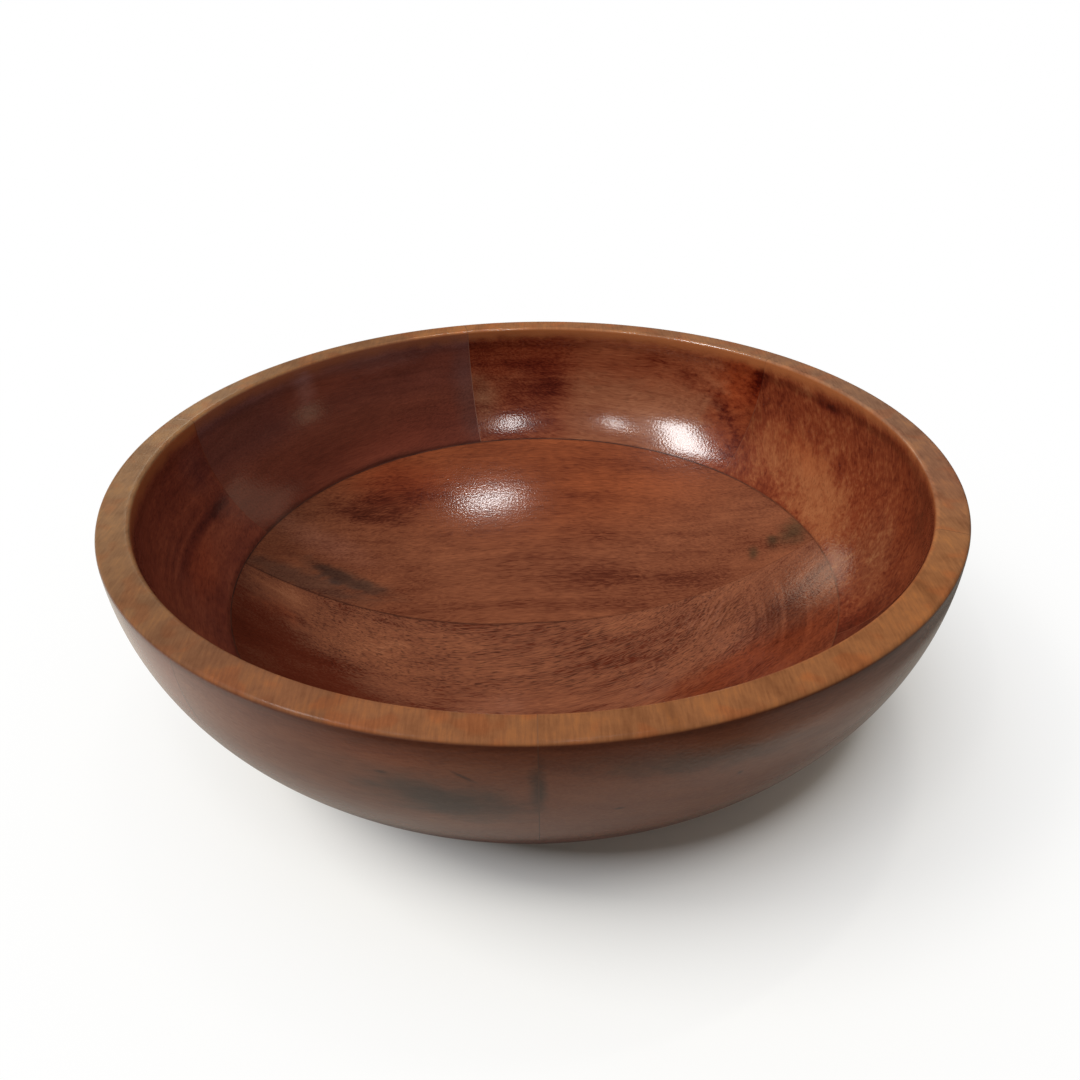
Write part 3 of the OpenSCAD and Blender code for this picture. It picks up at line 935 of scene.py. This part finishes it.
boards = [
    ("front", board_joint_y - glue_t / 2, -1, math.pi, front_board_wood),
    ("rear", board_joint_y + glue_t / 2, 1, 0.0, rear_board_wood),
]
for where, joint_y, side, start, wood in boards:
    start += board_joint_turn
    mesh = turned_mesh("floor_" + where, base_profile(joint_y, to_axis=side < 0), start, start + math.pi, 180,
                       wood(), joint_offset=side * joint_y, first_inside=1.0)
    place("floor_" + where, mesh, "floor_board_" + where, where + "_board_wood")
place("board_glue", board_glue_mesh("board_glue", glue), "board_glue_line", "glue")

# The camera of the photograph: over the front of the rim, turned a little off the bowl's middle
view_elevation = math.radians(26.39775)
view_distance = 345.0
view_yaw = 0.0062233
view_pitch = -0.0922558
view_roll = 0.0178853
focal_share = 934.3686 / 1080


def rotated(a, b, angle):
    """Two directions at right angles, turned in their plane."""
    return math.cos(angle) * a - math.sin(angle) * b, math.sin(angle) * a + math.cos(angle) * b


def photo_camera():
    back = Vector((0.0, -math.cos(view_elevation), math.sin(view_elevation)))
    right, ahead = Vector((1.0, 0.0, 0.0)), -back
    up = back.cross(right)
    right, ahead = rotated(right, ahead, view_yaw)
    up, ahead = rotated(up, ahead, view_pitch)
    right, up = rotated(right, up, view_roll)
    lens = bpy.data.cameras.new("camera")
    lens.sensor_width = 36.0
    lens.lens = lens.sensor_width * focal_share
    lens.clip_start = 0.01
    camera = bpy.data.objects.new("camera", lens)
    bpy.context.scene.collection.objects.link(camera)
    stand = Vector((0.0, 0.0, bowl_h)) + back * view_distance
    camera.matrix_world = Matrix.Translation(stand * MM) @ Matrix((right, up, -ahead)).transposed().to_4x4()
    bpy.context.scene.camera = camera


lamp_distance = 3.0


def lamp(name, mirror, towards, size, level, turn=0, tint=(1.0, 1.0, 1.0)):
    """A rectangular lamp whose reflection in the lacquer lies at the point mirror, in metres.

    It hangs that way from the point, turned by so many degrees.
    It lights what faces it at the given level, where 1 shows a colour as it is.
    """
    away = Vector(towards).normalized()
    light = bpy.data.lights.new(name, "AREA")
    light.shape = "RECTANGLE"
    light.size, light.size_y = size
    light.energy = level * (math.pi * lamp_distance) ** 2
    light.color = tint
    made = bpy.data.objects.new(name, light)
    bpy.context.scene.collection.objects.link(made)
    across = Vector((math.cos(math.radians(turn)), math.sin(math.radians(turn)), 0.0))
    across = (across - away * across.dot(away)).normalized()
    made.matrix_world = (Matrix.Translation(Vector(mirror) + away * lamp_distance)
                         @ Matrix((across, away.cross(across), away)).transposed().to_4x4())


def white_floor():
    """Paint that glows white to the camera, but for the bowl's shadow.

    As the lacquer mirrors it, it has painted light and shade: paler at the sides, and darker in front and at the
    far right.
    """
    paint = Finish("white_floor")
    path = paint.add("LightPath").outputs
    # Painted light and shade on the floor, seen only in the lacquer's reflections.
    aside = paint.apart(paint.x, -30)
    right = paint.times(paint.fade(paint.radius, 183, 208), paint.fade(paint.x, 60, 120))
    mirrored_light_and_shade = paint.lift(paint.fade(aside, 80, 200), -0.5, 0.4)
    mirrored_light_and_shade = paint.lift(right, 0.8, mirrored_light_and_shade)
    mirrored_light_and_shade = paint.lift(paint.fade(paint.y, -170, -250), 0.6, mirrored_light_and_shade, use_clamp=True)
    mirrored = paint.times(path["Is Glossy Ray"], mirrored_light_and_shade)
    tone = paint.mix(mirrored, (0.85, 0.83, 0.74, 1), (0.06, 0.06, 0.05, 1))
    matt = paint.put("BsdfDiffuse", {"Color": tone})
    glow = paint.put("Emission", {"Color": (1, 1, 1, 1), "Strength": 1.0})
    shadow_r, shadow_soft = 113, 40
    far = paint.add("VectorMath", {0: paint.spot, 1: (22, 11, 0)}, operation="DISTANCE").outputs["Value"]
    near = paint.lift(far, -1 / shadow_soft, shadow_r / shadow_soft)
    clear = paint.minus(1.0, paint.calc("POWER", math.e, near), use_clamp=True)
    glowing = paint.times(path["Is Camera Ray"], clear)
    paint.add("OutputMaterial", {"Surface": paint.put("MixShader", {0: glowing, 1: matt, 2: glow})})
    return paint.material


def studio():
    """White floor and surroundings, seven lamps, and a weak even light from all round."""
    scene = bpy.context.scene
    scene.view_settings.view_transform = "Standard"
    lamp("lamp_over", (-0.021, 0.085, 0.028), (0.131, 0.149, 0.980), (0.42, 0.08), 0.10, 27)
    lamp("lamp_near", (-0.010, 0.121, 0.051), (0.094, -0.445, 0.891), (0.12, 0.56), 0.11)
    lamp("lamp_near_left", (0.042, 0.116, 0.053), (-0.380, -0.390, 0.839), (0.1, 0.5), 0.08)
    lamp("lamp_right", (-0.105, 0.088, 0.076), (0.965, -0.15, 0.17), (0.4, 0.55), 0.009, 90, (1.0, 0.8, 0.52))
    lamp("lamp_left", (0.074, 0.098, 0.052), (-0.606, -0.155, 0.780), (0.5, 1.2), 0.68, -16)
    lamp("lamp_back_left", (0.118, -0.006, 0.048), (-0.430, 0.842, 0.330), (0.5, 0.7), 0.03,
         tint=(1.0, 0.94, 0.74))
    lamp("lamp_back_right", (-0.1175, 0.038, 0.055), (0.745, 0.503, 0.438), (0.8, 1.5), 0.03, -56,
         (1.0, 0.72, 0.52))

    scene.world = bpy.data.worlds.new("room")
    scene.world.use_nodes = True
    tree = scene.world.node_tree
    tree.nodes.clear()

    def even(strength):
        return node_in(tree, "ShaderNodeBackground", {"Color": (1, 1, 1, 1), "Strength": strength}).outputs[0]

    def either(share, a, b):
        return node_in(tree, "ShaderNodeMixShader", {0: share, 1: a, 2: b}).outputs[0]

    path = node_in(tree, "ShaderNodeLightPath").outputs
    unseen = either(path["Is Glossy Ray"], even(0.25), even(0.02))
    seen = either(path["Is Camera Ray"], unseen, even(1.0))
    node_in(tree, "ShaderNodeOutputWorld", {"Surface": seen})

    half = 4.0
    mesh = bpy.data.meshes.new("floor")
    mesh.from_pydata([(-half, -half, 0), (half, -half, 0), (half, half, 0), (-half, half, 0)], [], [(0, 1, 2, 3)])
    floor = bpy.data.objects.new("floor", mesh)
    scene.collection.objects.link(floor)
    mesh.materials.append(white_floor())


photo_camera()
studio()
